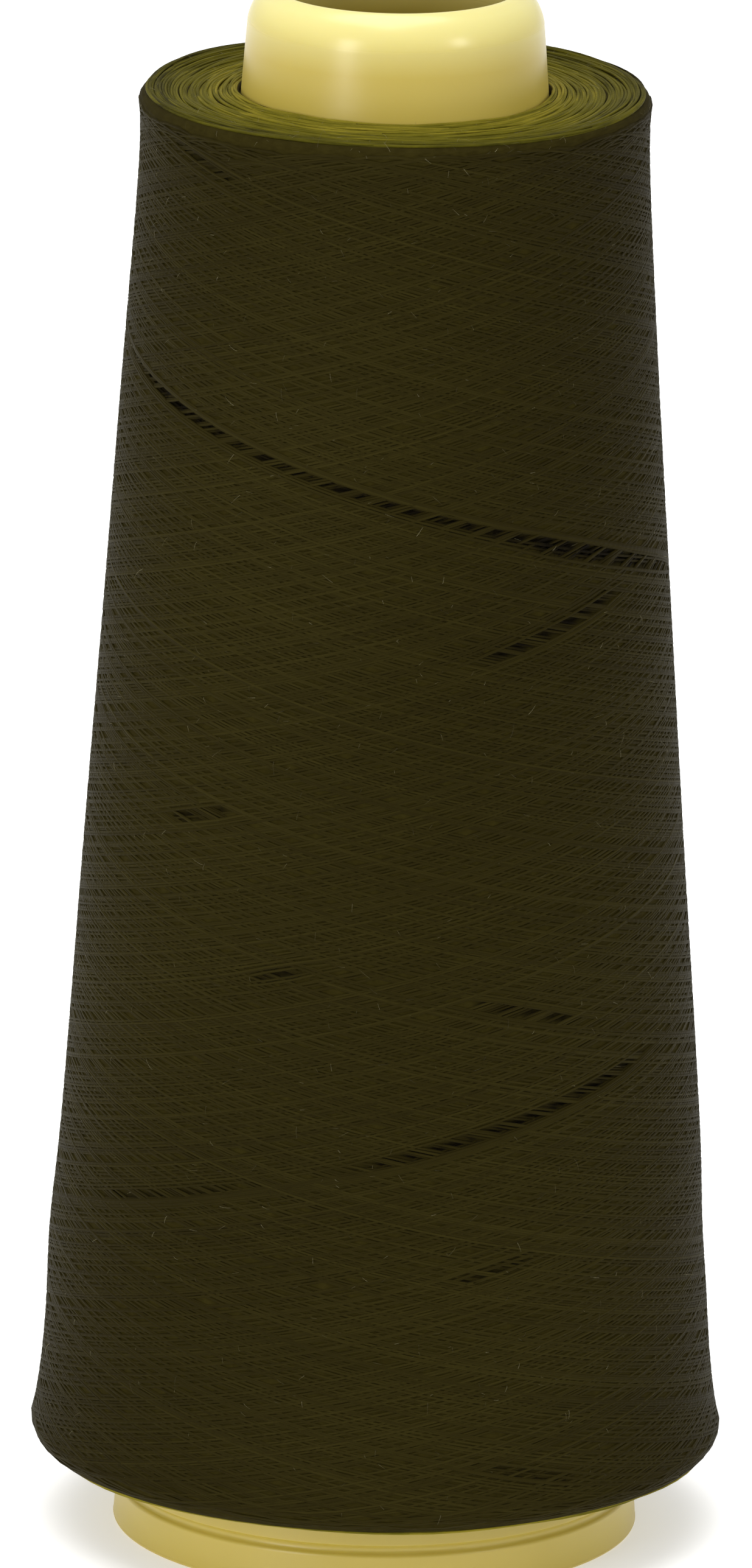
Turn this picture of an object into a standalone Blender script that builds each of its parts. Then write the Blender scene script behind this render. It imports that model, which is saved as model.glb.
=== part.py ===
"""A cone of sewing thread: dark olive thread cross-wound on a pale yellow moulded cone.

Both pieces are turned about the same upright axis. The origin is the centre of the ring
that the moulded cone stands on, with +Z up, and everything is in metres.
"""

import math

import bpy

MM = 0.001
GAP = 0.3 * MM
TURN_STEPS = 96
WELD_DISTANCE = 0.00001

# The moulded cone: a 170 mm carrier with a half angle of 4 degrees 20 minutes.
CONE_HEIGHT = 170.0 * MM
BASE_RADIUS = 28.4 * MM
HALF_ANGLE = math.radians(4.0 + 20.0 / 60.0)
WALL = 1.4 * MM
BASE_RING_WIDTH = 2.2 * MM
BASE_RING_HEIGHT = 3.0 * MM
BASE_EDGE = 0.4 * MM

# The nose, over which the thread is drawn off: a blunt rolled shoulder round an open mouth.
NOSE_DROP = 4.0 * MM
NOSE_INSET = 2.7 * MM
NOSE_FULLNESS = 1.6
NOSE_POINTS = 9
MOUTH_EDGE = 0.4 * MM
MOUTH_DEPTH = 3.4 * MM
MOUTH_SPLAY = 3.0 * MM

# The shallow groove round the skirt, where the winder lays the thread's tail.
TAIL_GROOVE_HEIGHT = 4.7 * MM
TAIL_GROOVE_WIDTH = 0.9 * MM
TAIL_GROOVE_DEPTH = 0.45 * MM

# The wound package: a 150 mm traverse with a slightly flatter taper than its core.
PACKAGE_BOTTOM = 8.9 * MM
PACKAGE_TOP = PACKAGE_BOTTOM + 150.0 * MM
PACKAGE_TAPER = 0.0688
PACKAGE_FOOT_RADIUS = 37.59 * MM
TOP_FLARE = 0.67 * MM
TOP_FLARE_REACH = 3.3 * MM
TOP_ROUND = 1.4 * MM
FOOT_FLARE = 0.55 * MM
FOOT_FLARE_REACH = 2.5 * MM
FOOT_PINCH = 0.17 * MM
FOOT_PINCH_HEIGHT = 21.0 * MM
FOOT_PINCH_REACH = 7.0 * MM
FOOT_ROUND = 2.6 * MM
FACE_DISH = 0.6 * MM
SIDE_POINTS = 16
ROUND_POINTS = 6
FACE_POINTS = 4


def plastic_radius(height):
    """Outer radius of the moulded cone's straight wall."""
    return BASE_RADIUS - height * math.tan(HALF_ANGLE)


def package_radius(height):
    """Outer radius of the winding: a straight taper that flares at both ends."""
    straight = PACKAGE_FOOT_RADIUS - PACKAGE_TAPER * height
    below_top = PACKAGE_TOP - TOP_ROUND - height
    above_foot = height - PACKAGE_BOTTOM - FOOT_ROUND
    top_flare = TOP_FLARE * math.exp(-below_top / TOP_FLARE_REACH)
    foot_flare = FOOT_FLARE * math.exp(-above_foot / FOOT_FLARE_REACH)
    pinch = FOOT_PINCH * math.exp(-((height - FOOT_PINCH_HEIGHT) / FOOT_PINCH_REACH) ** 2)
    return straight + top_flare + foot_flare - pinch


def spread(first, last, count):
    """Evenly spaced values from first to last, with both ends."""
    return [first + (last - first) * i / (count - 1) for i in range(count)]


def nose_points():
    """The rolled shoulder, from the mouth's edge out and down to the straight wall."""
    shoulder = CONE_HEIGHT - NOSE_DROP
    wall_radius = plastic_radius(shoulder)
    points = []
    for angle in spread(math.pi / 2, 0.0, NOSE_POINTS):
        out = math.cos(angle) ** (2.0 / NOSE_FULLNESS)
        up = math.sin(angle) ** (2.0 / NOSE_FULLNESS)
        radius = wall_radius - NOSE_INSET * (1.0 - out)
        points.append((radius, shoulder + NOSE_DROP * up))
    return points


def groove_points():
    """A notch with sloping sides in the straight wall."""
    top = TAIL_GROOVE_HEIGHT + TAIL_GROOVE_WIDTH / 2
    bottom = TAIL_GROOVE_HEIGHT - TAIL_GROOVE_WIDTH / 2
    floor = plastic_radius(TAIL_GROOVE_HEIGHT) - TAIL_GROOVE_DEPTH
    slope = TAIL_GROOVE_WIDTH / 4
    return [
        (plastic_radius(top), top),
        (floor, top - slope),
        (floor, bottom + slope),
        (plastic_radius(bottom), bottom),
    ]


def base_points():
    """The flat ring that stands on the table, with its outer edge eased."""
    inner = BASE_RADIUS - BASE_RING_WIDTH
    return [
        (plastic_radius(BASE_EDGE), BASE_EDGE),
        (BASE_RADIUS - BASE_EDGE, 0.0),
        (inner, 0.0),
        (inner, BASE_RING_HEIGHT),
    ]


def bore_points():
    """The hollow inside, from the base ring up to the underside of the thick nose."""
    low = BASE_RING_HEIGHT + BASE_RING_WIDTH - WALL
    throat = CONE_HEIGHT - MOUTH_DEPTH
    mouth_radius = plastic_radius(CONE_HEIGHT - NOSE_DROP) - NOSE_INSET
    splay = throat - MOUTH_SPLAY
    return [
        (plastic_radius(low) - WALL, low),
        (plastic_radius(splay) - WALL, splay),
        (mouth_radius - MOUTH_EDGE, throat),
        (mouth_radius - MOUTH_EDGE, CONE_HEIGHT - MOUTH_EDGE),
    ]


def face_points(inner, outer, height, dip):
    """An end face of the winding from inner to outer radius, dished by dip midway."""
    points = []
    for radius in spread(inner, outer, FACE_POINTS):
        share = (radius - inner) / (outer - inner)
        points.append((radius, height + dip * math.sin(math.pi * share)))
    return points


def package_points():
    """The winding's closed outline, outwards over the top, down the side and back."""
    rim = PACKAGE_TOP - TOP_ROUND
    foot = PACKAGE_BOTTOM + FOOT_ROUND
    top_edge = package_radius(rim) - TOP_ROUND
    foot_edge = package_radius(foot) - FOOT_ROUND
    core_top = plastic_radius(PACKAGE_TOP) + GAP
    core_foot = plastic_radius(PACKAGE_BOTTOM) + GAP
    points = face_points(core_top, top_edge, PACKAGE_TOP, -FACE_DISH)
    for angle in spread(math.pi / 2, 0.0, ROUND_POINTS)[1:]:
        across = TOP_ROUND * math.cos(angle)
        points.append((top_edge + across, rim + TOP_ROUND * math.sin(angle)))
    for share in spread(0.0, 1.0, SIDE_POINTS)[1:-1]:
        eased = (1.0 - math.cos(math.pi * share)) / 2.0
        height = rim + (foot - rim) * eased
        points.append((package_radius(height), height))
    for angle in spread(0.0, math.pi / 2, ROUND_POINTS)[:-1]:
        across = FOOT_ROUND * math.cos(angle)
        points.append((foot_edge + across, foot - FOOT_ROUND * math.sin(angle)))
    points += reversed(face_points(core_foot, foot_edge, PACKAGE_BOTTOM, FACE_DISH))
    return points


def principled(name, colour, roughness):
    """A plain Principled material."""
    material = bpy.data.materials.new(name)
    material.use_nodes = True
    shader = material.node_tree.nodes["Principled BSDF"]
    shader.inputs["Base Color"].default_value = (*colour, 1.0)
    shader.inputs["Roughness"].default_value = roughness
    shader.inputs["Metallic"].default_value = 0.0
    return material


def turned(name, outline, material, collection):
    """Turn a closed outline, given as radius and height, about the Z axis."""
    count = len(outline)
    corners = [(radius, 0.0, height) for radius, height in outline]
    edges = [(i, (i + 1) % count) for i in range(count)]
    mesh = bpy.data.meshes.new(name)
    mesh.from_pydata(corners, edges, [])
    mesh.materials.append(material)
    piece = bpy.data.objects.new(name, mesh)
    collection.objects.link(piece)
    screw = piece.modifiers.new("Turn", "SCREW")
    screw.axis = "Z"
    screw.angle = math.tau
    screw.steps = TURN_STEPS
    screw.render_steps = TURN_STEPS
    screw.use_merge_vertices = True
    screw.merge_threshold = WELD_DISTANCE
    screw.use_smooth_shade = True
    return piece


def build():
    """Model the moulded cone and the thread wound on it."""
    for old in list(bpy.data.objects):
        bpy.data.objects.remove(old, do_unlink=True)
    collection = bpy.data.collections.new("cone_of_thread")
    bpy.context.scene.collection.children.link(collection)
    plastic = principled("pale_yellow_plastic", (0.66, 0.52, 0.13), 0.34)
    thread = principled("olive_thread", (0.026, 0.019, 0.006), 0.85)
    cone_outline = nose_points() + groove_points() + base_points() + bore_points()
    turned("plastic_cone", cone_outline, plastic, collection)
    turned("wound_thread", package_points(), thread, collection)


build()
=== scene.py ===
# %% [markdown]
# # A cone of sewing thread
#
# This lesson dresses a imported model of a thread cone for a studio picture. The real thing is
# two pieces: a hollow cone moulded in pale yellow plastic, and a few thousand metres of dark
# olive thread that a winding machine has laid on it to and fro. Everything round is worked out with
# numpy as a surface over two parameters, and the thread is laid on the package along the same
# kind of path that the winder's guide follows.

# %% Load the frame
import math

import bpy
import numpy as np
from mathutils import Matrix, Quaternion, Vector


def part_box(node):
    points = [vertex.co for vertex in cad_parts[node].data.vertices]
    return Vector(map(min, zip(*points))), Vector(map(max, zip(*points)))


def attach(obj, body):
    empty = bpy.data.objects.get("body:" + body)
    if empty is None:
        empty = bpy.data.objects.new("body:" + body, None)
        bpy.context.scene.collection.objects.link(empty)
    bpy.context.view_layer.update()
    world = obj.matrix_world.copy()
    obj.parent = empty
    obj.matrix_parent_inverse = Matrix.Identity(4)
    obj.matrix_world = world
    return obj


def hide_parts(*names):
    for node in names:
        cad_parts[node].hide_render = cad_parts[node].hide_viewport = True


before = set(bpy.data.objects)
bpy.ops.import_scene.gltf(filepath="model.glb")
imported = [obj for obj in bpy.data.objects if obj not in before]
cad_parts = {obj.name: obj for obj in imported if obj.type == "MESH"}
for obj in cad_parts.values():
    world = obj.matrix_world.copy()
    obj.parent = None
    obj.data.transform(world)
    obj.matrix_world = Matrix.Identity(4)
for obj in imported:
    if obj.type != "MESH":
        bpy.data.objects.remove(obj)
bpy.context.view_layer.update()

MM = 0.001
cone_low, cone_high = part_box("plastic_cone")
thread_low, thread_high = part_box("wound_thread")
print("cone height %.1f mm" % (cone_high.z / MM))
print("package %.1f mm tall" % ((thread_high.z - thread_low.z) / MM))

# %% [markdown]
# ## The camera
#
# The cone is seen from a little above, from nearly two metres away and through a long lens,
# so its sides hardly converge. The camera leans by less than a degree, which makes the cone
# lean the other way. It is made first because the framing shows what needs the most care.

# %% Camera
CAMERA_DISTANCE = 1.926
CAMERA_ELEVATION = math.radians(15.3)
CAMERA_ROLL = math.radians(0.83)
CAMERA_LENS = 411.7
AIM = Vector((-0.95 * MM, 0.0, 82.2 * MM))


def make_camera():
    """A long lens that looks along +Y and down at the aim point."""
    lens = bpy.data.cameras.new("camera")
    lens.lens = CAMERA_LENS
    lens.clip_end = 30.0
    camera = bpy.data.objects.new("camera", lens)
    bpy.context.scene.collection.objects.link(camera)
    back = Vector((0.0, -math.cos(CAMERA_ELEVATION), math.sin(CAMERA_ELEVATION)))
    camera.location = AIM + back * CAMERA_DISTANCE
    camera.rotation_mode = "QUATERNION"
    lean = Quaternion((0.0, 0.0, 1.0), CAMERA_ROLL)
    camera.rotation_quaternion = (-back).to_track_quat("-Z", "Y") @ lean
    bpy.context.scene.camera = camera
    return camera


camera = make_camera()
print("camera at", [round(value, 3) for value in camera.location])

# %% [markdown]
# ## From arrays to a mesh
#
# Each surface is a grid of points. Two helpers turn such a grid into a Blender mesh: one
# numbers the four corners of every face, with a wrap where the grid closes on itself, and the
# other copies the arrays into a mesh in one go, which is far quicker than adding faces one by
# one. The corners run so that faces look outwards when the rows climb the outer side and the
# columns run anticlockwise seen from above.

# %% Grid helpers


def grid_faces(rows, columns, wrap_rows=False, wrap_columns=False):
    """Corner numbers of the quads between neighbouring points of a rows by columns grid."""
    row = np.arange(rows if wrap_rows else rows - 1)
    column = np.arange(columns if wrap_columns else columns - 1)
    row, column = np.meshgrid(row, column, indexing="ij")
    next_row = (row + 1) % rows
    next_column = (column + 1) % columns
    corners = (
        row * columns + column,
        row * columns + next_column,
        next_row * columns + next_column,
        next_row * columns + column,
    )
    return np.stack(corners, -1).reshape(-1, 4)


def new_piece(name, points, faces):
    """A smooth mesh object at the origin from arrays of points and of four-cornered faces."""
    mesh = bpy.data.meshes.new(name)
    mesh.vertices.add(len(points))
    mesh.vertices.foreach_set("co", np.ascontiguousarray(points, np.float32).ravel())
    mesh.loops.add(faces.size)
    mesh.loops.foreach_set("vertex_index", faces.astype(np.int32).ravel())
    mesh.polygons.add(len(faces))
    mesh.polygons.foreach_set("loop_start", np.arange(0, faces.size, 4, dtype=np.int32))
    mesh.update(calc_edges=True)
    mesh.validate()
    mesh.shade_smooth()
    piece = bpy.data.objects.new(name, mesh)
    bpy.context.scene.collection.objects.link(piece)
    print("%s: %d triangles" % (name, 2 * len(faces)))
    return piece


def unit(vectors):
    """Each vector divided by its own length."""
    return vectors / np.linalg.norm(vectors, axis=-1, keepdims=True)


def set_tone(piece, tone):
    """One number from 0 to 1 at each point, which the material mixes its colours by."""
    attribute = piece.data.attributes.new("tone", "FLOAT", "POINT")
    attribute.data.foreach_set("value", np.ascontiguousarray(tone, np.float32).ravel())


print("a 3 by 4 grid closed both ways has", len(grid_faces(3, 4, True, True)), "faces")


# %% [markdown]
# ## The outline of the wound package
#
# A winder lays thread to and fro between two fixed points, so the package is a blunt tapered
# tube. It flares a little at both ends, because the thread slows down and doubles back there
# and more of it piles up. The skin is one line that starts at the core under the foot, goes
# out, round the foot's soft corner, up the side, over the rim and back in to the core. It is
# kept with its arc length, so that a place on the package is an arc length and an angle.

# %% Package outline
HALF_ANGLE = math.radians(4.0 + 20.0 / 60.0)
CLEARANCE = 0.3 * MM
TAPER = 0.0688
TOP_ROUND = 1.4 * MM
TOP_FLARE = 0.67 * MM
TOP_FLARE_REACH = 3.3 * MM
FOOT_ROUND = 2.6 * MM
FOOT_FLARE = 0.55 * MM
FOOT_FLARE_REACH = 2.5 * MM
FOOT_PINCH = 0.17 * MM
FOOT_PINCH_HEIGHT = 21.0 * MM
FOOT_PINCH_REACH = 7.0 * MM
FACE_DISH = 0.6 * MM
FACE_POINTS = 60
ROUND_POINTS = 40
SIDE_POINTS = 1200

base_radius = (cone_high.x - cone_low.x) / 2
foot_height = thread_low.z + FOOT_ROUND
rim_height = thread_high.z - TOP_ROUND
foot_radius = (thread_high.x - thread_low.x) / 2 - FOOT_FLARE


def plastic_radius(height):
    """The moulded cone's outer radius: the base radius less height times the cone's slope."""
    return base_radius - height * math.tan(HALF_ANGLE)


def package_radius(height):
    """A straight taper, plus a flare that fades from each end, less a pinch above the foot."""
    straight = foot_radius - TAPER * (height - foot_height)
    top_flare = TOP_FLARE * np.exp((height - rim_height) / TOP_FLARE_REACH)
    foot_flare = FOOT_FLARE * np.exp((foot_height - height) / FOOT_FLARE_REACH)
    pinch = FOOT_PINCH * np.exp(-(((height - FOOT_PINCH_HEIGHT) / FOOT_PINCH_REACH) ** 2))
    return straight + top_flare + foot_flare - pinch


def end_face(core, edge, height, dip):
    """A flat end from core to edge, dished by dip in a half sine wave."""
    radius = np.linspace(core, edge, FACE_POINTS)
    share = (radius - core) / (edge - core)
    return np.stack([radius, height + dip * np.sin(np.pi * share)], 1)


def quarter_round(centre, size, first, last):
    """Part of a circle round centre, from the first angle to the last."""
    angle = np.linspace(first, last, ROUND_POINTS)[1:-1]
    return np.stack([centre[0] + size * np.cos(angle), centre[1] + size * np.sin(angle)], 1)


def skin_outline():
    """Radius and height along the skin, from the core under the foot to the core on top."""
    foot_edge = package_radius(foot_height) - FOOT_ROUND
    rim_edge = package_radius(rim_height) - TOP_ROUND
    core_foot = plastic_radius(thread_low.z) + CLEARANCE
    core_top = plastic_radius(thread_high.z) + CLEARANCE
    side = np.linspace(foot_height, rim_height, SIDE_POINTS)
    return np.concatenate(
        [
            end_face(core_foot, foot_edge, thread_low.z, FACE_DISH),
            quarter_round((foot_edge, foot_height), FOOT_ROUND, -np.pi / 2, 0.0),
            np.stack([package_radius(side), side], 1),
            quarter_round((rim_edge, rim_height), TOP_ROUND, 0.0, np.pi / 2),
            end_face(core_top, rim_edge, thread_high.z, -FACE_DISH)[::-1],
        ]
    )


skin = skin_outline()
skin_step = np.linalg.norm(np.diff(skin, axis=0), axis=1)
skin_arc = np.concatenate([[0.0], np.cumsum(skin_step)])
skin_along = unit(np.gradient(skin, skin_arc, axis=0))
skin_out = np.stack([skin_along[:, 1], -skin_along[:, 0]], 1)
between_faces = slice(FACE_POINTS, -FACE_POINTS)
side_arc = np.interp(
    [foot_height, rim_height], skin[between_faces, 1], skin_arc[between_faces]
)
print("skin %.1f mm long" % (skin_arc[-1] / MM))
print("its side runs from %.1f to %.1f mm along it" % (side_arc[0] / MM, side_arc[1] / MM))

# %% [markdown]
# ## Unevenness
#
# No package is perfectly round. The layers build up slightly more in one place than in
# another, so the side swells and sinks by a tenth or two of a millimetre over several
# centimetres, and the lower left swells most. A few crossing waves of height and angle, with
# one soft swelling, are enough. The same function shapes the body and every turn on it, so
# the thread always lies on the surface.

# %% Unevenness
SWELLING = 0.24 * MM
SWELLING_ANGLE = math.radians(182.0)
SWELLING_HEIGHT = 33.0 * MM
SWELLING_SPREAD = math.radians(38.0)
SWELLING_REACH = 6.5 * MM

# (size, waves round the package, start in radians, height that shifts it by a radian)
SLOW_WAVES = [
    (0.07 * MM, 2, 0.9, 31.0 * MM),
    (0.05 * MM, 3, -1.7, -17.0 * MM),
    (0.03 * MM, 5, 2.1, 8.5 * MM),
]


def apart(angle, other):
    """The signed angle from other to angle, between minus pi and pi."""
    return (angle - other + np.pi) % (2 * np.pi) - np.pi


def unevenness(angle, height):
    """Three crossing waves of angle and height, and one bell-shaped swelling."""
    waves = sum(
        size * np.sin(count * angle + start + height / reach)
        for size, count, start, reach in SLOW_WAVES
    )
    around = apart(angle, SWELLING_ANGLE) / SWELLING_SPREAD
    along = (height - SWELLING_HEIGHT) / SWELLING_REACH
    opposite = apart(angle, SWELLING_ANGLE + np.pi) / SWELLING_SPREAD
    swell = SWELLING * (np.exp(-around**2 - along**2) - np.exp(-opposite**2 - along**2))
    return waves + swell


def on_skin(arc, angle, lift):
    """Points and outward normals at an arc length and an angle, lift above the skin."""
    radius = np.interp(arc, skin_arc, skin[:, 0])
    height = np.interp(arc, skin_arc, skin[:, 1])
    out = np.interp(arc, skin_arc, skin_out[:, 0])
    up = np.interp(arc, skin_arc, skin_out[:, 1])
    rise = lift + unevenness(angle, height)
    reach = radius + out * rise
    level = height + up * rise + 0.0 * angle
    points = np.stack([reach * np.cos(angle), reach * np.sin(angle), level], -1)
    up = up + 0.0 * angle
    normals = np.stack([out * np.cos(angle), out * np.sin(angle), up], -1)
    return points, normals


once_round = np.linspace(0.0, 2 * np.pi, 99)
print("deepest wave %.2f mm" % (unevenness(once_round, SWELLING_HEIGHT).min() / MM))

# %% [markdown]
# ## Where the last turns parted
#
# Here and there two neighbouring turns of the last layers have parted, and a dark line shows
# between them with the crossing turns deep inside it. Each such line follows the winding, so
# it is a piece of a helix: a starting angle and height, a climb or a fall, and how far round
# it can be followed. Turns that run the same way are pushed off the line to both sides. The
# few that are left in it, and the turns that cross it, are let down below the skin.

# %% Parted turns
PITCH = 53.4 * MM
PUSH = 0.42 * MM
PUSH_EDGE = 0.10 * MM
PUSH_REACH = 1.3 * MM
SINK = 0.42 * MM
SINK_REACH = 0.55 * MM
GROOVE_REACH = 0.17 * MM
LINE_FADE = 2.5
FRONT = math.radians(-90.0)

# (middle, degrees right of the front; height there, mm; climb; half length, degrees; strength)
PARTED_LINES = [
    (-4.0, 121.2, -1, 88.0, 1.0),
    (55.0, 112.0, -1, 36.0, 0.7),
    (37.0, 106.2, 1, 22.0, 0.8),
    (26.0, 53.4, 1, 38.0, 1.0),
    (28.0, 65.3, -1, 13.0, 0.7),
    (-43.0, 43.3, 1, 20.0, 0.4),
    (26.0, 15.0, -1, 12.0, 0.5),
    (20.0, 37.5, 1, 10.0, 0.5),
    (-39.0, 85.3, 1, 9.0, 0.6),
    (-20.0, 69.5, 1, 6.0, 0.6),
    (-48.0, 155.0, -1, 12.0, 0.5),
    (128.0, 131.0, 1, 50.0, 0.9),
    (165.0, 88.0, -1, 60.0, 0.9),
    (212.0, 60.0, 1, 42.0, 0.8),
    (120.0, 36.0, -1, 26.0, 0.7),
    (238.0, 110.0, 1, 24.0, 0.6),
]


def near_lines(angle, height, climbing):
    """How far to push a place off each line it lies by, and how deep the line is there.

    A line's height is its middle height plus the pitch times the turn from its middle. The
    push is a smooth step across the line that fades away from it and towards its two ends.
    The depth is a bell across the line, wider for crossing turns than for those along it.
    """
    push = np.zeros(np.broadcast(angle, height).shape)
    depth = np.zeros_like(push)
    for middle, middle_height, climb, half_length, strength in PARTED_LINES:
        turn = apart(angle, FRONT + math.radians(middle))
        line_height = middle_height * MM + climb * PITCH * turn / (2 * np.pi)
        off = height - line_height
        ends = np.abs(turn) / math.radians(half_length)
        present = strength * np.clip(LINE_FADE * (1.0 - ends), 0.0, 1.0) ** 2
        along = climbing == climb
        bell = np.exp(-((off / PUSH_REACH) ** 2))
        push += present * along * PUSH * np.tanh(off / PUSH_EDGE) * bell
        reach = np.where(along, GROOVE_REACH, SINK_REACH)
        depth += present * SINK * np.exp(-((off / reach) ** 2))
    return push, depth


print("%d lines where turns parted" % len(PARTED_LINES))

# %% [markdown]
# ## The body under the last layers
#
# The outer turns don't quite hide what is below them, so a body fills the package just under
# them. It is one closed tube: the skin's line, a little below the true surface, carried round
# the axis, and closed along the core. Its end faces carry the fine steps that hundreds of
# layers leave where they turn back. Its tone falls to nothing in the grooves between parted
# turns, which its material shows as shade.

# %% Package body
BODY_COLUMNS = 320
BODY_SINK = 0.17 * MM
FACE_RIB = 0.05 * MM
FACE_RIB_SPACING = 0.62 * MM
GROOVE_DEEPER = 1.3
GROOVE_SHADE = 1.6
FOOT_BEND = 4.1 * MM
RIM_BEND = 2.2 * MM


def body_rows():
    """Arc lengths of the body's rows, closer together round the foot and the rim."""
    foot, rim = side_arc
    return np.concatenate(
        [
            np.linspace(0.0, foot - FOOT_BEND, 14, endpoint=False),
            np.linspace(foot - FOOT_BEND, foot, 10, endpoint=False),
            np.linspace(foot, rim, 230, endpoint=False),
            np.linspace(rim, rim + RIM_BEND, 9, endpoint=False),
            np.linspace(rim + RIM_BEND, skin_arc[-1], 34),
        ]
    )


def make_body():
    """The skin's line carried round the axis, let down where turns parted above it."""
    arc = body_rows()[:, None]
    angle = np.linspace(0.0, 2 * np.pi, BODY_COLUMNS, endpoint=False)[None, :]
    height = np.interp(arc, skin_arc, skin[:, 1])
    on_side = (arc > side_arc[0]) & (arc < side_arc[1])
    depth = near_lines(angle, height, 0)[1] * on_side
    rib = FACE_RIB * np.sin(2 * np.pi * arc / FACE_RIB_SPACING + 2 * np.sin(3 * angle))
    lift = -BODY_SINK - GROOVE_DEEPER * depth + rib * ~on_side
    points = on_skin(arc + 0.0 * angle, angle + 0.0 * arc, lift)[0]
    faces = grid_faces(*points.shape[:2], wrap_rows=True, wrap_columns=True)
    piece = new_piece("package_body", points.reshape(-1, 3), faces)
    # The body's tone is painted shade only: it falls to nothing in the grooves.
    set_tone(piece, np.clip(1.0 - GROOVE_SHADE * depth / SINK, 0.0, 1.0))
    return piece


package_body = make_body()

# %% [markdown]
# ## The thread's path
#
# On the machine the cone spins at a steady rate while a guide carries the thread up and down.
# So the angle grows evenly, and the place along the side is a zigzag with its points rounded
# off, where the guide turns back. One up-and-down stroke takes 5.618 turns. The odd fraction
# matters: it sends each stroke to the widest gap that is left, so the strokes cover the side
# evenly and never fall into line. Later strokes lie a little higher, over the earlier ones.

# %% Path of the winding
TURNS_PER_STROKE = 5.618
STROKES = 186
STEPS_PER_TURN = 64
TURN_BACK = 0.009
TURN_BACK_SPREAD = 2.1 * MM
DEEPEST_LIFT = -0.21 * MM
HIGHEST_LIFT = -0.16 * MM
PAST_FOOT = 3.2 * MM
PAST_RIM = 1.7 * MM
chance = np.random.default_rng(7)


def rounded_zigzag(phase, rounding):
    """0 to 1 and back for each whole phase, with both points rounded by a hyperbola."""
    zigzag = 1.0 - np.abs(2.0 * (phase % 1.0) - 1.0)
    near_zero = np.sqrt(zigzag**2 + rounding**2) - zigzag
    near_one = np.sqrt((1.0 - zigzag) ** 2 + rounding**2) - (1.0 - zigzag)
    return zigzag + near_zero - near_one


def winding_path():
    """Arc length, angle, lift, half stroke and shade for each step along the thread."""
    step = np.arange(int(STROKES * TURNS_PER_STROKE * STEPS_PER_TURN))
    turn = step / STEPS_PER_TURN
    stroke = turn / TURNS_PER_STROKE
    ends = np.empty(2 * STROKES + 2)
    ends[0::2] = side_arc[0] - PAST_FOOT + TURN_BACK_SPREAD * chance.random(STROKES + 1)
    ends[1::2] = side_arc[1] + PAST_RIM - TURN_BACK_SPREAD * chance.random(STROKES + 1)
    half = (2 * stroke).astype(int)
    low_end = np.where(half % 2 == 0, ends[half], ends[half + 1])
    high_end = np.where(half % 2 == 0, ends[half + 1], ends[half])
    arc = low_end + (high_end - low_end) * rounded_zigzag(stroke, TURN_BACK)
    angle = 2 * np.pi * turn
    climbing = np.where(half % 2 == 0, 1, -1)
    height = np.interp(arc, skin_arc, skin[:, 1])
    push, depth = near_lines(angle, height, climbing)
    lift = DEEPEST_LIFT + (HIGHEST_LIFT - DEEPEST_LIFT) * stroke / STROKES
    return arc + push, angle, lift - depth, half, depth / SINK


path_arc, path_angle, path_lift, path_half, path_shade = winding_path()
print("%d steps, %.0f turns" % (len(path_arc), path_angle[-1] / (2 * np.pi)))

# %% [markdown]
# ## From a path to a thread
#
# A thread is a small section carried along its path. At each step the path's direction and
# the package's normal give a frame, and the section's corners are set out in it: rounded
# above, where it shows, and flat underneath, where it lies on the layer below. The map's
# first number is the length along the thread and its second goes round it, so the twist of
# the plies can follow the thread. Each turn also gets its own tone, since thread is never
# dyed or lit quite alike along five kilometres.

# %% Thread along a path
SECTION_ANGLES = np.radians([-14.0, 56.0, 124.0, 194.0])
THREAD_WIDTH = 0.36 * MM


def thread_tube(arc, angle, lift, width):
    """Points of a thread, as steps by corners, and the length along it."""
    centre, normal = on_skin(arc, angle, lift)
    ahead = unit(np.gradient(centre, axis=0))
    across = unit(np.cross(normal, ahead))
    normal = np.cross(ahead, across)
    half = np.broadcast_to(np.asarray(width) / 2, arc.shape)[:, None, None]
    sideways = across[:, None, :] * np.cos(SECTION_ANGLES)[None, :, None]
    upwards = normal[:, None, :] * np.sin(SECTION_ANGLES)[None, :, None]
    points = centre[:, None, :] + half * (sideways + upwards)
    steps = np.linalg.norm(np.diff(centre, axis=0), axis=1)
    return points, np.concatenate([[0.0], np.cumsum(steps)])


def set_thread_map(piece, length, corners):
    """A map of the length along the thread, in millimetres, and the way round it."""
    row, column = np.meshgrid(np.arange(len(length) - 1), np.arange(corners), indexing="ij")
    along = np.stack([length[row], length[row], length[row + 1], length[row + 1]], -1)
    around = np.stack([column, column + 1, column + 1, column], -1) / corners
    values = np.stack([along.reshape(-1) / MM, around.reshape(-1)], 1)
    spare = np.zeros((len(piece.data.loops) - len(values), 2))
    layer = piece.data.uv_layers.new(name="along_thread")
    layer.uv.foreach_set("vector", np.concatenate([values, spare]).astype(np.float32).ravel())


def make_thread(name, arc, angle, lift, width, tone):
    """A closed thread along the path, with its map and its tone."""
    points, length = thread_tube(arc, angle, lift, width)
    steps, corners = points.shape[:2]
    sides = grid_faces(steps, corners, wrap_columns=True)
    first = np.arange(corners)[::-1]
    last = np.arange(corners) + (steps - 1) * corners
    piece = new_piece(name, points.reshape(-1, 3), np.concatenate([sides, [first, last]]))
    set_thread_map(piece, length, corners)
    set_tone(piece, np.repeat(tone, corners))
    return piece


print("a turn is %.2f mm wide" % (THREAD_WIDTH / MM))

# %% [markdown]
# ## The wound turns
#
# The whole winding is one thread, but it is cut into three pieces here, early, middle and
# last, so that none is too heavy to edit. Each half stroke has a tone of its own, a slow drift
# round and up the package is laid over them all, and turns let down into a groove are darkened
# with painted shade.

# %% Wound turns
TONE_KEPT = 0.35
TONE_OWN = 0.7
TONE_DRIFT = 0.11
TONE_SHADE = 0.9


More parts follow.
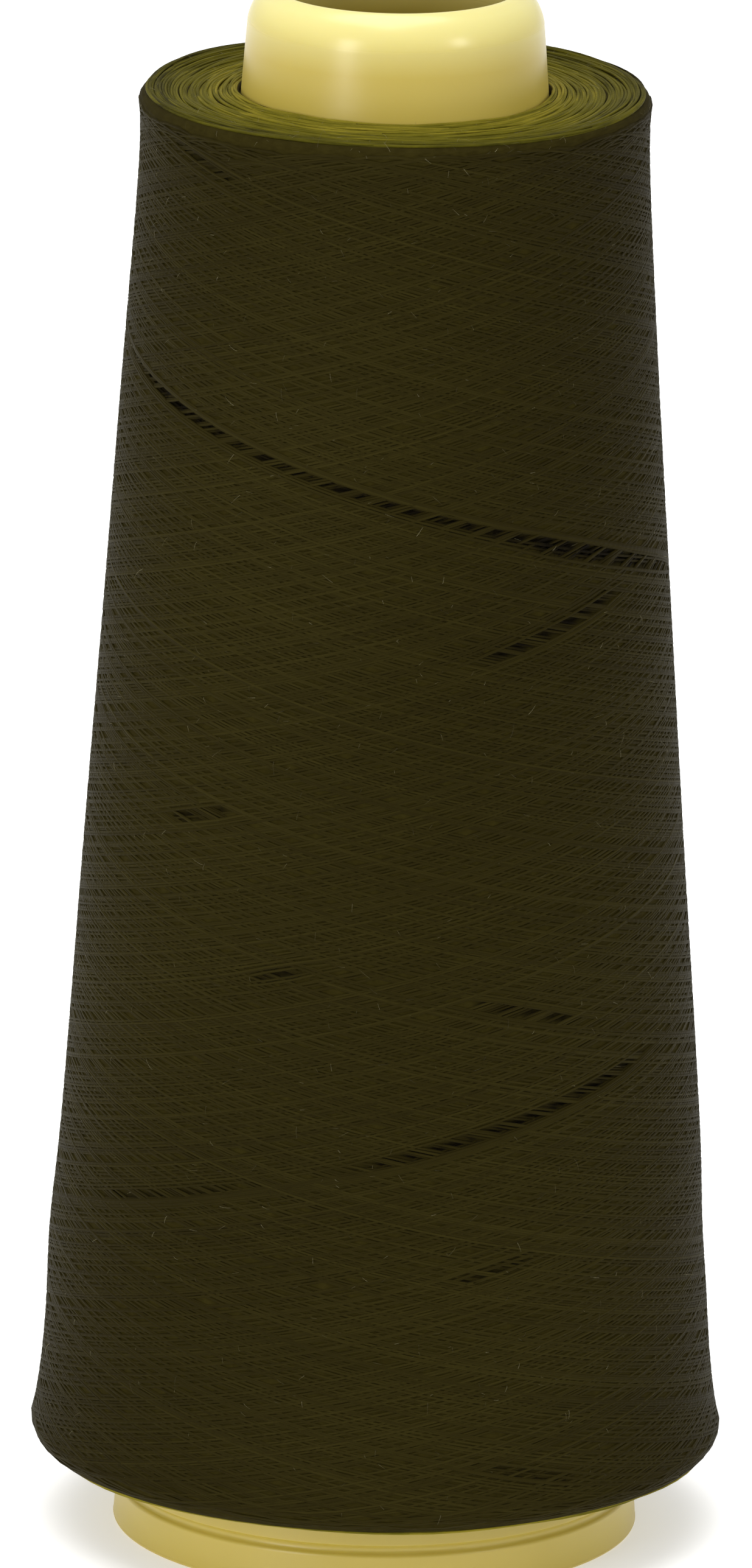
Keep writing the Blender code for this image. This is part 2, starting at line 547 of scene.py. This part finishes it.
def half_stroke_tones():
    """A random tone for each half stroke, drawn towards the one before it."""
    loose = chance.random(2 * STROKES + 2)
    return (1.0 - TONE_KEPT) * loose + TONE_KEPT * np.roll(loose, 1)


def slow_drift():
    """Two crossing waves of angle and arc length, from -2 to 2."""
    once = np.sin(path_angle + 2.2 + path_arc / (60 * MM))
    thrice = np.sin(3 * path_angle - path_arc / (24 * MM))
    return once + thrice


def make_windings():
    """The winding in three lengths that share their end steps."""
    own = TONE_OWN * half_stroke_tones()[path_half] + (1.0 - TONE_OWN) / 2
    # Turns let down into a groove are darkened here as painted shade.
    tones = own + TONE_DRIFT * slow_drift() - TONE_SHADE * path_shade
    cuts = np.linspace(0, len(path_arc) - 1, 4).astype(int)
    pieces = []
    for name, first, last in zip(("early", "middle", "last"), cuts[:-1], cuts[1:]):
        part = slice(first, last + 1)
        pieces.append(
            make_thread(
                "winding_" + name,
                path_arc[part],
                path_angle[part],
                path_lift[part],
                THREAD_WIDTH,
                tones[part],
            )
        )
    return pieces


windings = make_windings()

# %% [markdown]
# ## The turns on the end faces
#
# From above, the end of a package is a mass of short arcs: every stroke comes up out of the
# package, runs along the edge of its layer for a few centimetres, and dives back in. A long
# spiral that wanders in and out, and rises above and sinks below the face as it goes, shows
# just such arcs. Three spirals with different wanderings cross each other on the top, and
# one serves for the foot, which stands close above the table.

# %% End-face turns
FACE_SPACING = 0.33 * MM
FACE_WANDER = 0.16 * MM
FACE_SINK = -0.16 * MM
FACE_RISE = 0.085 * MM
FOOT_TURN_WIDTH = 1.15 * THREAD_WIDTH


def face_spiral(first_arc, last_arc, seed, steps_per_turn):
    """A spiral over an end face with waves across it and up and down.

    The waves are sines of the unwound angle with unrelated rates, so they never repeat.
    The tone rises towards the high end of the arc, which on the top face is at the core, and
    there it is painted light thrown back by the yellow core.
    """
    turns = abs(last_arc - first_arc) / FACE_SPACING
    angle = 2 * np.pi * np.arange(int(turns * steps_per_turn)) / steps_per_turn
    arc = first_arc + (last_arc - first_arc) * angle / angle[-1]
    wander = np.sin(1.37 * angle + seed) + 0.8 * np.sin(2.71 * angle + 2.0 * seed)
    rise = np.sin(4.19 * angle + 3.0 * seed) + np.sin(6.83 * angle + seed)
    low, high = sorted((first_arc, last_arc))
    arc = np.clip(arc + FACE_WANDER * wander, low, high)
    lift = FACE_SINK + FACE_RISE * rise
    inward = (arc - low) / (high - low)
    # Painted light rising towards the high end of the arc, with a wavering tone of its own.
    tone = 0.75 * inward + 0.12 * np.sin(0.73 * angle + seed) + 0.12 * np.sin(5.1 * angle)
    return arc, angle, lift, tone


def make_face_turns():
    """Three crossing spirals on the top face and one under the foot."""
    inner = skin_arc[-1] - 0.2 * MM
    outer = side_arc[1] + 1.5 * MM
    pieces = []
    for seed, (first, last) in enumerate([(inner, outer), (outer, inner), (inner, outer)]):
        arc, angle, lift, tone = face_spiral(first, last, 1.0 + 2.3 * seed, 96)
        if first > last:
            angle = -angle
        name = "top_turns_%d" % (seed + 1)
        pieces.append(make_thread(name, arc, angle, lift, THREAD_WIDTH, tone))
    arc, angle, lift, tone = face_spiral(0.2 * MM, side_arc[0] - 3.0 * MM, 4.0, 72)
    pieces.append(make_thread("foot_turns", arc, angle, lift, FOOT_TURN_WIDTH, tone))
    return pieces


face_turns = make_face_turns()

# %% [markdown]
# ## Loose fibres
#
# Spun thread is hairy. Fibre ends stand off it by up to a millimetre or so, which softens the
# outline and catches the light on the top face. Each fibre is a thin tapering tube along a
# parabola: it leaves the skin in its own direction and droops back along the surface.

# %% Loose fibres
FIBRES = 2600
FIBRE_ROWS = 5
FIBRE_WIDTH = 0.022 * MM
FIBRE_TIP = 0.35
FIBRE_ROOT = -0.08 * MM
ON_TOP = 0.3


def fibre_centres():
    """Where each fibre runs, as fibres by rows by three, and the normal at its root."""
    top = chance.random(FIBRES) < ON_TOP
    side = side_arc[0] + (side_arc[1] - side_arc[0]) * chance.random(FIBRES)
    face = side_arc[1] + (skin_arc[-1] - side_arc[1]) * chance.random(FIBRES)
    arc = np.where(top, face, side)
    angle = 2 * np.pi * chance.random(FIBRES)
    root, normal = on_skin(arc, angle, FIBRE_ROOT)
    loose = unit(chance.normal(size=(FIBRES, 3)))
    lying = unit(loose - normal * np.sum(loose * normal, -1, keepdims=True))
    length = MM * np.clip(chance.lognormal(-0.55, 0.45, FIBRES), 0.2, 1.8)[:, None, None]
    share = np.linspace(0.0, 1.0, FIBRE_ROWS)[None, :, None]
    stand = chance.uniform(0.35, 0.95, FIBRES)[:, None, None]
    rise = normal[:, None, :] * stand * (share - 0.55 * share**2)
    along = lying[:, None, :] * (0.5 * share + 0.5 * share**2)
    return root[:, None, :] + length * (rise + along), normal


def make_fibres():
    """Three-sided tapering tubes along all the centres at once."""
    centre, normal = fibre_centres()
    ahead = unit(np.gradient(centre, axis=1))
    across = unit(np.cross(normal[:, None, :], ahead))
    upward = np.cross(ahead, across)
    thin = FIBRE_WIDTH / 2 * np.linspace(1.0, FIBRE_TIP, FIBRE_ROWS)[None, :, None, None]
    angle = 2 * np.pi * np.arange(3) / 3
    ring = across[:, :, None, :] * np.cos(angle)[:, None]
    ring = ring + upward[:, :, None, :] * np.sin(angle)[:, None]
    points = centre[:, :, None, :] + thin * ring
    one = grid_faces(FIBRE_ROWS, 3, wrap_columns=True)
    count = FIBRE_ROWS * 3
    faces = one[None, :, :] + count * np.arange(FIBRES)[:, None, None]
    piece = new_piece("loose_fibres", points.reshape(-1, 3), faces.reshape(-1, 4))
    set_tone(piece, np.repeat(chance.random(FIBRES), count))
    return piece


loose_fibres = make_fibres()

# %% [markdown]
# ## The moulded cone
#
# The core is one injection moulding. Its wall tapers straight up to a thick, rolled nose, so
# that the thread can slide off over it without catching, and near the base a shallow groove
# holds the tail of the thread. The outline goes up the outside from the table, over the nose,
# and down the bore, and is carried round the axis. The nose is a superellipse, fuller than a
# straight bevel and softer than a true quarter circle.

# %% Moulded cone
WALL = 1.4 * MM
BASE_RING_WIDTH = 2.2 * MM
BASE_RING_HEIGHT = 3.0 * MM
BASE_EDGE = 0.4 * MM
NOSE_DROP = 4.0 * MM
NOSE_INSET = 2.7 * MM
NOSE_FULLNESS = 1.6
MOUTH_EDGE = 0.4 * MM
MOUTH_DEPTH = 3.4 * MM
MOUTH_SPLAY = 3.0 * MM
TAIL_GROOVE_HEIGHT = 4.7 * MM
TAIL_GROOVE_WIDTH = 0.9 * MM
TAIL_GROOVE_DEPTH = 0.45 * MM
GROOVE_STEEPNESS = 1.6
GROOVE_EDGE = 1.25
EDGE_THINNING = 6
OUT_OF_ROUND = 0.04 * MM
CONE_COLUMNS = 256


def outer_wall():
    """The straight wall from the base edge to the nose, less a flat groove that slopes in."""
    low = np.linspace(BASE_EDGE, 2 * TAIL_GROOVE_HEIGHT, 44, endpoint=False)
    high = np.linspace(2 * TAIL_GROOVE_HEIGHT, cone_high.z - NOSE_DROP, 60)
    height = np.concatenate([low, high])
    off = np.abs(height - TAIL_GROOVE_HEIGHT) / (TAIL_GROOVE_WIDTH / 2)
    groove = TAIL_GROOVE_DEPTH * np.clip(GROOVE_STEEPNESS * (GROOVE_EDGE - off), 0.0, 1.0)
    return np.stack([plastic_radius(height) - groove, height], 1)


def nose():
    """A superellipse from the wall up and in to the edge of the mouth."""
    angle = np.linspace(0.0, np.pi / 2, 34)[1:]
    out = np.cos(angle) ** (2.0 / NOSE_FULLNESS)
    up = np.sin(angle) ** (2.0 / NOSE_FULLNESS)
    shoulder = cone_high.z - NOSE_DROP
    radius = plastic_radius(shoulder) - NOSE_INSET * (1.0 - out)
    return np.stack([radius, shoulder + NOSE_DROP * up], 1)


def bore():
    """Down the mouth, out under the thick nose, and down the inside of the wall."""
    mouth = plastic_radius(cone_high.z - NOSE_DROP) - NOSE_INSET - MOUTH_EDGE
    lip_centre = (mouth + MOUTH_EDGE, cone_high.z - MOUTH_EDGE)
    lip = quarter_round(lip_centre, MOUTH_EDGE, np.pi / 2, np.pi)[::EDGE_THINNING]
    edge_centre = (base_radius - BASE_EDGE, BASE_EDGE)
    base_edge = quarter_round(edge_centre, BASE_EDGE, -np.pi / 2, 0)[::EDGE_THINNING]
    throat = cone_high.z - MOUTH_DEPTH
    splay = throat - MOUTH_SPLAY
    low = BASE_RING_HEIGHT + BASE_RING_WIDTH - WALL
    inside = np.linspace(splay, low, 40)
    return np.concatenate(
        [
            lip,
            [(mouth, cone_high.z - MOUTH_EDGE), (mouth, throat)],
            np.stack([plastic_radius(inside) - WALL, inside], 1),
            [(base_radius - BASE_RING_WIDTH, BASE_RING_HEIGHT)],
            [(base_radius - BASE_RING_WIDTH, 0.0)],
            base_edge,
        ]
    )


def make_cone():
    """The outline carried round the axis, out of round by a few hundredths."""
    outline = np.concatenate([outer_wall(), nose(), bore()])
    angle = np.linspace(0.0, 2 * np.pi, CONE_COLUMNS, endpoint=False)[None, :]
    oval = OUT_OF_ROUND * np.cos(2 * angle + 0.8) * (outline[:, 1:] / cone_high.z)
    radius = outline[:, :1] + oval
    level = outline[:, 1:] + 0.0 * angle
    points = np.stack([radius * np.cos(angle), radius * np.sin(angle), level], -1)
    faces = grid_faces(*points.shape[:2], wrap_rows=True, wrap_columns=True)
    piece = new_piece("moulded_cone", points.reshape(-1, 3), faces)
    piece.data.set_sharp_from_angle(angle=math.radians(50.0))
    return piece


moulded_cone = make_cone()

# %% [markdown]
# ## Materials
#
# A material is a small network. These helpers keep each one readable: one adds a node,
# another joins two sockets, and two more make a colour ramp and a mix of two colours.

# %% Material helpers


def new_material(name):
    """An empty network with a Principled shader, and that shader."""
    material = bpy.data.materials.new(name)
    material.use_nodes = True
    return material, material.node_tree.nodes["Principled BSDF"]


def add(material, kind, **settings):
    """A node of that kind, with its settings and the values of its named inputs."""
    node = material.node_tree.nodes.new("ShaderNode" + kind)
    for key, value in settings.items():
        if hasattr(node, key):
            setattr(node, key, value)
        else:
            node.inputs[key.replace("_", " ")].default_value = value
    return node


def join(material, start, end):
    """A link from one socket to another."""
    material.node_tree.links.new(start, end)


def ramp(material, factor, stops):
    """A colour ramp with the given (place, colour) stops, fed by factor."""
    node = add(material, "ValToRGB")
    elements = node.color_ramp.elements
    while len(elements) < len(stops):
        elements.new(0.5)
    for element, (place, colour) in zip(elements, stops):
        element.position = place
        element.color = (*colour, 1.0)
    join(material, factor, node.inputs["Fac"])
    return node


MIX_COLOUR_A = 6
MIX_COLOUR_B = 7
MIX_COLOUR_RESULT = 2


def colour_mix(material, factor):
    """A mix of two colours by factor, and its sockets for the first, the second and the result."""
    node = add(material, "Mix", data_type="RGBA")
    join(material, factor, node.inputs["Factor"])
    first = node.inputs[MIX_COLOUR_A]
    second = node.inputs[MIX_COLOUR_B]
    return first, second, node.outputs[MIX_COLOUR_RESULT]


print("material helpers ready")

# %% [markdown]
# ## Thread
#
# The turns are dark olive and dull, with a faint bloom of light at grazing angles from the
# fibres. Tone moves a turn from a browner dark to a greener light, below which the lowest stop
# is painted groove shade, and a stretched noise along the thread breaks each turn into slubs.
# The bump follows the map along the thread: slanting ridges along it are the plies of the twist.
# The turns on the end faces get a lighter copy of these colours, painted light, because there
# the light from above falls full on the thread and the yellow core throws some back.

# %% Thread material
OLIVE_DARK = (0.0115, 0.0085, 0.0009)
OLIVE_MID = (0.0158, 0.0121, 0.0014)
OLIVE_LIGHT = (0.0225, 0.0178, 0.0026)
# Painted shade: the colour of turns and layers deep in the grooves between parted turns.
PAINTED_GROOVE_SHADE = (0.003, 0.002, 0.0004)
TONE_STOPS = (0.04, 0.22, 0.5, 0.8)
# Painted light: lighter copies of the olive for the end faces, lit from above and by the yellow
# core.
LIT_ENDS_DARK = (0.045, 0.040, 0.0030)
LIT_ENDS_MID = (0.095, 0.083, 0.0050)
LIT_ENDS_LIGHT = (0.205, 0.168, 0.015)


def thread_material(name, colours):
    """Colours from the painted groove shade up, by tone and by noise, with twisted plies in the
    bump.
    """
    material, shader = new_material(name)
    place = add(material, "UVMap", uv_map="along_thread")
    tone = add(material, "Attribute", attribute_name="tone")
    stretch = add(material, "Mapping")
    stretch.inputs["Scale"].default_value = (0.35, 1.5, 1.0)
    join(material, place.outputs["UV"], stretch.inputs["Vector"])
    slubs = add(material, "TexNoise", Scale=1.0, Detail=3.0)
    join(material, stretch.outputs["Vector"], slubs.inputs["Vector"])
    blend = add(material, "Mix")
    blend.inputs["Factor"].default_value = 0.45
    join(material, tone.outputs["Fac"], blend.inputs["A"])
    join(material, slubs.outputs["Fac"], blend.inputs["B"])
    colour = ramp(
        material, blend.outputs["Result"],
        list(zip(TONE_STOPS, (PAINTED_GROOVE_SHADE, *colours))),
    )
    join(material, colour.outputs["Color"], shader.inputs["Base Color"])
    turn = add(material, "Mapping")
    turn.inputs["Scale"].default_value = (1.5, 1.0, 1.0)
    join(material, place.outputs["UV"], turn.inputs["Vector"])
    plies = add(material, "TexWave", bands_direction="DIAGONAL", Scale=0.5)
    join(material, turn.outputs["Vector"], plies.inputs["Vector"])
    bump = add(material, "Bump", Strength=0.5, Distance=0.03 * MM)
    join(material, plies.outputs["Fac"], bump.inputs["Height"])
    join(material, bump.outputs["Normal"], shader.inputs["Normal"])
    shader.inputs["Roughness"].default_value = 0.62
    shader.inputs["Specular IOR Level"].default_value = 0.03
    shader.inputs["Sheen Weight"].default_value = 0.02
    shader.inputs["Sheen Roughness"].default_value = 0.35
    shader.inputs["Sheen Tint"].default_value = (0.75, 0.66, 0.42, 1.0)
    return material


thread_finish = thread_material("olive_thread", (OLIVE_DARK, OLIVE_MID, OLIVE_LIGHT))
lit_face_finish = thread_material("olive_thread_ends_painted_light", (LIT_ENDS_DARK, LIT_ENDS_MID, LIT_ENDS_LIGHT))
print("made", thread_finish.name, "and", lit_face_finish.name)

# %% [markdown]
# ## The layers beneath and the fibres
#
# What shows between the turns is more thread, so the body's own finish is the same olive. It
# goes nearly black in the grooves between parted turns, which is painted shade, and carries the
# crossing turns as two slanting sets of fine waves in its bump. The loose
# fibres are paler, because a single fibre holds much less dye than a whole turn and light
# comes through it.

# %% Body and fibre materials
TURN_WAVE = 760.0
TURN_SLOPE = math.radians(14.0)
FIBRE_MID = (0.14, 0.12, 0.05)
FIBRE_PALE = (0.32, 0.29, 0.17)


def body_material():
    """Olive, with painted shade nearly black in the grooves, and two crossing sets of turns in the
    bump.
    """
    material, shader = new_material("olive_layers")
    place = add(material, "TexCoord")
    mottle = add(material, "TexNoise", Scale=900.0, Detail=2.0)
    join(material, place.outputs["Object"], mottle.inputs["Vector"])
    colour = ramp(material, mottle.outputs["Fac"], [(0.3, OLIVE_MID), (0.75, OLIVE_LIGHT)])
    tone = add(material, "Attribute", attribute_name="tone")
    groove, open_side, shaded = colour_mix(material, tone.outputs["Fac"])
    # Painted shade where the tone falls to nothing in the grooves.
    groove.default_value = (*PAINTED_GROOVE_SHADE, 1.0)
    join(material, colour.outputs["Color"], open_side)
    join(material, shaded, shader.inputs["Base Color"])
    heights = []
    for slope in (-1.0, 1.0):
        tilt = add(material, "Mapping")
        tilt.inputs["Rotation"].default_value = (0.0, slope * TURN_SLOPE, 0.0)
        join(material, place.outputs["Object"], tilt.inputs["Vector"])
        wave = add(material, "TexWave", bands_direction="Z", Scale=TURN_WAVE, Distortion=1.5)
        join(material, tilt.outputs["Vector"], wave.inputs["Vector"])
        heights.append(wave.outputs["Fac"])
    both = add(material, "Mix")
    both.inputs["Factor"].default_value = 0.5
    join(material, heights[0], both.inputs["A"])
    join(material, heights[1], both.inputs["B"])
    bump = add(material, "Bump", Strength=0.6, Distance=0.08 * MM)
    join(material, both.outputs["Result"], bump.inputs["Height"])
    join(material, bump.outputs["Normal"], shader.inputs["Normal"])
    shader.inputs["Roughness"].default_value = 0.8
    shader.inputs["Specular IOR Level"].default_value = 0.03
    return material


def fibre_material():
    """Paler olive by tone, slightly glossy."""
    material, shader = new_material("olive_fibres")
    tone = add(material, "Attribute", attribute_name="tone")
    stops = [(0.0, OLIVE_MID), (0.7, FIBRE_MID), (1.0, FIBRE_PALE)]
    colour = ramp(material, tone.outputs["Fac"], stops)
    join(material, colour.outputs["Color"], shader.inputs["Base Color"])
    shader.inputs["Roughness"].default_value = 0.5
    return material


body_finish = body_material()
fibre_finish = fibre_material()
print("made", body_finish.name, "and", fibre_finish.name)

# %% [markdown]
# ## Moulded plastic
#
# The cone is polypropylene, pale yellow all through. Light enters it a little way, which
# softens its shading. The nose is polished and thick, and the wall is duller, so the
# roughness falls near the top, and there the colour pales as a painted highlight. A fine noise
# in the bump is the skin of the moulding, and a slow one in the colour is the unevenness of a cheap
# pigment.

# %% Plastic material
YELLOW = (0.455, 0.35, 0.055)
YELLOW_PALE = (0.50, 0.39, 0.075)
# Painted highlight colour for the polished nose.
NOSE_HIGHLIGHT_COLOUR = (0.63, 0.57, 0.22)


def plastic_material():
    """Pale yellow plastic, smoother towards the nose and paler there by a painted highlight, with a
    moulded skin.
    """
    material, shader = new_material("pale_yellow_plastic")
    place = add(material, "TexCoord")
    slow = add(material, "TexNoise", Scale=45.0, Detail=2.0)
    join(material, place.outputs["Object"], slow.inputs["Vector"])
    colour = ramp(material, slow.outputs["Fac"], [(0.3, YELLOW), (0.75, YELLOW_PALE)])
    parts = add(material, "SeparateXYZ")
    join(material, place.outputs["Object"], parts.inputs["Vector"])
    # Painted highlight: the colour pales towards the nose by height.
    nose_highlight_share = add(material, "MapRange")
    nose_highlight_share.inputs["From Min"].default_value = cone_high.z - 1.6 * NOSE_DROP
    nose_highlight_share.inputs["From Max"].default_value = cone_high.z - 0.2 * NOSE_DROP
    join(material, parts.outputs["Z"], nose_highlight_share.inputs["Value"])
    wall, painted_nose_highlight, paler = colour_mix(material, nose_highlight_share.outputs["Result"])
    join(material, colour.outputs["Color"], wall)
    painted_nose_highlight.default_value = (*NOSE_HIGHLIGHT_COLOUR, 1.0)
    join(material, paler, shader.inputs["Base Color"])
    polish = add(material, "MapRange")
    polish.inputs["From Min"].default_value = cone_high.z - 2.2 * NOSE_DROP
    polish.inputs["From Max"].default_value = cone_high.z - 0.4 * NOSE_DROP
    polish.inputs["To Min"].default_value = 0.36
    polish.inputs["To Max"].default_value = 0.24
    join(material, parts.outputs["Z"], polish.inputs["Value"])
    join(material, polish.outputs["Result"], shader.inputs["Roughness"])
    peel = add(material, "TexNoise", Scale=1100.0, Detail=3.0)
    join(material, place.outputs["Object"], peel.inputs["Vector"])
    bump = add(material, "Bump", Strength=0.12, Distance=0.03 * MM)
    join(material, peel.outputs["Fac"], bump.inputs["Height"])
    join(material, bump.outputs["Normal"], shader.inputs["Normal"])
    shader.inputs["IOR"].default_value = 1.49
    shader.inputs["Subsurface Weight"].default_value = 0.3
    shader.inputs["Subsurface Radius"].default_value = (1.0, 0.75, 0.3)
    shader.inputs["Subsurface Scale"].default_value = 1.6 * MM
    return material


plastic_finish = plastic_material()
print("made", plastic_finish.name)

# %% [markdown]
# ## Putting it together
#
# Each piece takes its finish and rides on the model's only body. The moulded cone and the
# package body stand in for the two plain solids, which stay only for collision.

# %% Assemble
for piece in windings:
    piece.data.materials.append(thread_finish)
for piece in face_turns:
    piece.data.materials.append(lit_face_finish)
package_body.data.materials.append(body_finish)
loose_fibres.data.materials.append(fibre_finish)
moulded_cone.data.materials.append(plastic_finish)

for piece in [*windings, *face_turns, package_body, loose_fibres]:
    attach(piece, "root")
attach(moulded_cone, "root")
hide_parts("wound_thread")
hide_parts("plastic_cone")
print("%d pieces ride on the root" % (len(windings) + len(face_turns) + 3))

# %% [markdown]
# ## Floor and light
#
# A white floor and a white surround make a clean studio scene. The floor gives a little light
# of its own, which keeps the cone's shadow faint. A large soft light overhead
# brightens the top face. A tall one at the front left draws the upright highlight on the
# neck, and a small one at the right picks out the rolled nose.

# %% Stage


def make_floor():
    """A white floor that reaches well past every view."""
    bpy.ops.mesh.primitive_plane_add(size=16.0)
    floor = bpy.context.object
    floor.name = "floor"
    material, shader = new_material("white_floor")
    shader.inputs["Base Color"].default_value = (0.93, 0.93, 0.93, 1.0)
    shader.inputs["Roughness"].default_value = 0.9
    shader.inputs["Specular IOR Level"].default_value = 0.1
    shader.inputs["Emission Color"].default_value = (1.0, 1.0, 1.0, 1.0)
    shader.inputs["Emission Strength"].default_value = 0.3
    floor.data.materials.append(material)
    return floor


def soft_light(name, place, size, power, colour):
    """An area light at place, aimed at the middle of the cone."""
    light = bpy.data.lights.new(name, "AREA")
    light.shape = "RECTANGLE"
    light.size, light.size_y = size
    light.energy = power
    light.color = colour
    lamp = bpy.data.objects.new(name, light)
    lamp.location = place
    lamp.rotation_mode = "QUATERNION"
    aim = Vector((0.0, 0.0, cone_high.z / 2)) - Vector(place)
    lamp.rotation_quaternion = aim.to_track_quat("-Z", "Y")
    bpy.context.scene.collection.objects.link(lamp)
    return lamp


def make_surround(strength):
    """An even white world."""
    world = bpy.data.worlds.new("surround")
    world.use_nodes = True
    background = world.node_tree.nodes["Background"]
    background.inputs["Color"].default_value = (1.0, 1.0, 1.0, 1.0)
    background.inputs["Strength"].default_value = strength
    bpy.context.scene.world = world


floor = make_floor()
make_surround(0.75)
soft_light("overhead", (-0.1, -0.1, 1.5), (1.2, 1.2), 16.0, (1.0, 1.0, 1.0))
soft_light("window", (-0.80, -1.02, 0.35), (0.30, 0.9), 7.0, (1.0, 0.98, 0.96))
soft_light("side", (0.9, -0.7, 0.6), (0.2, 0.3), 2.0, (1.0, 0.97, 0.92))
bpy.context.scene.view_settings.view_transform = "Standard"
print("3 lights, a floor and a white surround")
